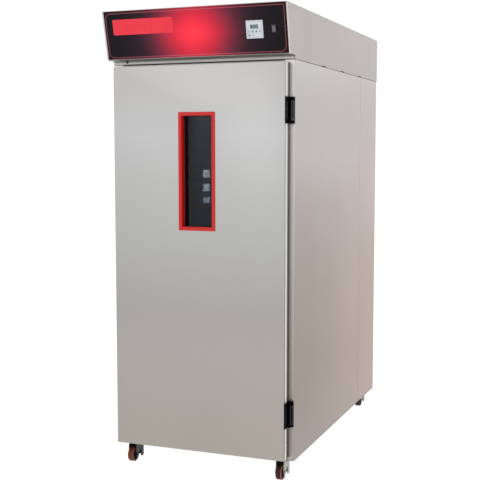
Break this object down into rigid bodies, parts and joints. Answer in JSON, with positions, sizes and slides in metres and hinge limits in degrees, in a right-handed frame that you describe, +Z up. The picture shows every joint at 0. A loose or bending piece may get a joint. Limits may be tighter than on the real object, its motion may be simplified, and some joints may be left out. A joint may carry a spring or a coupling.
{
  "type": "proofing cabinet",
  "caption": "Tall insulated proofing cabinet on swivel casters, with a windowed door on hinges, tray racks inside and a control head with a slanted fascia.",
  "frame": {"origin": "on the floor, under the middle of the bounding box", "axes": "+Z up, +X to the right when facing the door, +Y from the door to the back"},
  "size_m": [0.8316, 1.5065, 1.984],
  "materials": {
    "aluminium_fins": "thin fins, satin",
    "black_plastic": "black, glossy",
    "black_rubber": "black, matt",
    "controller_plastic": "pale blue-grey",
    "copper": "copper-coloured tube",
    "dark_steel": "black enamel",
    "fan_plastic": "black",
    "foam": "rigid foam, hidden between the sheets",
    "galvanised": "zinc-coated sheet steel",
    "glass": "tinted clear glass",
    "key_plastic": "pale blue-grey keys",
    "liner_steel": "stainless steel, half bright",
    "overlay": "printed film: black with a red glow and a pink line",
    "polyurethane": "orange-brown tread",
    "red_frame": "red, smooth",
    "rocker_plastic": "mauve, translucent look",
    "screen": "dark grey-green display",
    "stainless": "fine brushed stainless steel",
    "wheel_core": "near black",
    "zinc": "bright zinc plating"
  },
  "bodies": {
    "cabinet": {"side_panel_right": "stainless", "side_panel_left": "stainless", "rear_shell": "stainless", "base_pan": "stainless", "roof_pan": "stainless", "inner_liner": "liner_steel", "insulation": "foam", "tray_rack_right": "liner_steel", "tray_rack_left": "liner_steel", "air_partition": "liner_steel", "fan_motor": "galvanised", "evaporator_coil": "aluminium_fins", "heater_element": "copper", "humidifier_pan": "liner_steel", "head_cover": "stainless", "fascia_panel": "stainless", "fascia_overlay": "overlay", "head_back": "stainless", "cable_gland": "black_plastic", "controller_housing": "controller_plastic", "controller_screen": "screen", "switch_bezel": "black_plastic", "compressor": "dark_steel", "condenser_coil": "aluminium_fins", "electrical_board": "galvanised", "hinge_frame_leaf_upper": "black_plastic", "hinge_frame_leaf_lower": "black_plastic", "caster_plate_front_right": "zinc", "caster_plate_front_left": "zinc", "caster_plate_rear_right": "zinc", "caster_plate_rear_left": "zinc"},
    "door": {"door_skin": "stainless", "door_inner_pan": "stainless", "door_foam": "foam", "window_frame": "red_frame", "window_glass_outer": "glass", "window_glass_inner": "glass", "door_gasket": "black_rubber", "hinge_door_leaf_upper": "black_plastic", "hinge_door_leaf_lower": "black_plastic"},
    "fan": {"circulation_fan": "fan_plastic"},
    "power_rocker": {"switch_rocker": "rocker_plastic"},
    "key_1": {"controller_key_1": "key_plastic"},
    "key_2": {"controller_key_2": "key_plastic"},
    "key_3": {"controller_key_3": "key_plastic"},
    "key_4": {"controller_key_4": "key_plastic"},
    "key_5": {"controller_key_5": "key_plastic"},
    "key_6": {"controller_key_6": "key_plastic"},
    "swivel_front_right": {"caster_fork_front_right": "zinc"},
    "wheel_front_right": {"wheel_core_front_right": "wheel_core", "wheel_tread_front_right": "polyurethane"},
    "swivel_front_left": {"caster_fork_front_left": "zinc"},
    "wheel_front_left": {"wheel_core_front_left": "wheel_core", "wheel_tread_front_left": "polyurethane"},
    "swivel_rear_right": {"caster_fork_rear_right": "zinc"},
    "wheel_rear_right": {"wheel_core_rear_right": "wheel_core", "wheel_tread_rear_right": "polyurethane"},
    "swivel_rear_left": {"caster_fork_rear_left": "zinc"},
    "wheel_rear_left": {"wheel_core_rear_left": "wheel_core", "wheel_tread_rear_left": "polyurethane"}
  },
  "joints": [
    {"name": "door_swing", "type": "hinge", "parent": "cabinet", "child": "door", "pos_m": [0.4012, -0.6643, 0.2935], "axis": [0, 0, 1], "range_deg": [0, 110]},
    {"name": "fan_spin", "type": "hinge", "parent": "cabinet", "child": "fan", "pos_m": [0, 0.3986, 1.42], "axis": [0, 1, 0], "continuous": true},
    {"name": "power_rock", "type": "hinge", "parent": "cabinet", "child": "power_rocker", "pos_m": [0.352, -0.72727, 1.88203], "axis": [1, 0, 0], "range_deg": [-14, 0]},
    {"name": "key_1_press", "type": "slide", "parent": "cabinet", "child": "key_1", "axis": [0, 0.9752, 0.2215], "range_m": [0, 0.0008], "stiffness_N_per_m": 300},
    {"name": "key_2_press", "type": "slide", "parent": "cabinet", "child": "key_2", "axis": [0, 0.9752, 0.2215], "range_m": [0, 0.0008], "stiffness_N_per_m": 300},
    {"name": "key_3_press", "type": "slide", "parent": "cabinet", "child": "key_3", "axis": [0, 0.9752, 0.2215], "range_m": [0, 0.0008], "stiffness_N_per_m": 300},
    {"name": "key_4_press", "type": "slide", "parent": "cabinet", "child": "key_4", "axis": [0, 0.9752, 0.2215], "range_m": [0, 0.0008], "stiffness_N_per_m": 300},
    {"name": "key_5_press", "type": "slide", "parent": "cabinet", "child": "key_5", "axis": [0, 0.9752, 0.2215], "range_m": [0, 0.0008], "stiffness_N_per_m": 300},
    {"name": "key_6_press", "type": "slide", "parent": "cabinet", "child": "key_6", "axis": [0, 0.9752, 0.2215], "range_m": [0, 0.0008], "stiffness_N_per_m": 300},
    {"name": "swivel_front_right_turn", "type": "hinge", "parent": "cabinet", "child": "swivel_front_right", "pos_m": [0.351, -0.5994, 0.0799], "axis": [0, 0, 1], "continuous": true},
    {"name": "wheel_front_right_roll", "type": "hinge", "parent": "swivel_front_right", "child": "wheel_front_right", "pos_m": [0.351, -0.6294, 0.03222], "axis": [1, 0, 0], "continuous": true},
    {"name": "swivel_front_left_turn", "type": "hinge", "parent": "cabinet", "child": "swivel_front_left", "pos_m": [-0.351, -0.5994, 0.0799], "axis": [0, 0, 1], "continuous": true},
    {"name": "wheel_front_left_roll", "type": "hinge", "parent": "swivel_front_left", "child": "wheel_front_left", "pos_m": [-0.351, -0.6294, 0.03222], "axis": [1, 0, 0], "continuous": true},
    {"name": "swivel_rear_right_turn", "type": "hinge", "parent": "cabinet", "child": "swivel_rear_right", "pos_m": [0.351, 0.7106, 0.0799], "axis": [0, 0, 1], "continuous": true},
    {"name": "wheel_rear_right_roll", "type": "hinge", "parent": "swivel_rear_right", "child": "wheel_rear_right", "pos_m": [0.351, 0.6806, 0.03222], "axis": [1, 0, 0], "continuous": true},
    {"name": "swivel_rear_left_turn", "type": "hinge", "parent": "cabinet", "child": "swivel_rear_left", "pos_m": [-0.351, 0.7106, 0.0799], "axis": [0, 0, 1], "continuous": true},
    {"name": "wheel_rear_left_roll", "type": "hinge", "parent": "swivel_rear_left", "child": "wheel_rear_left", "pos_m": [-0.351, 0.6806, 0.03222], "axis": [1, 0, 0], "continuous": true}
  ]
}
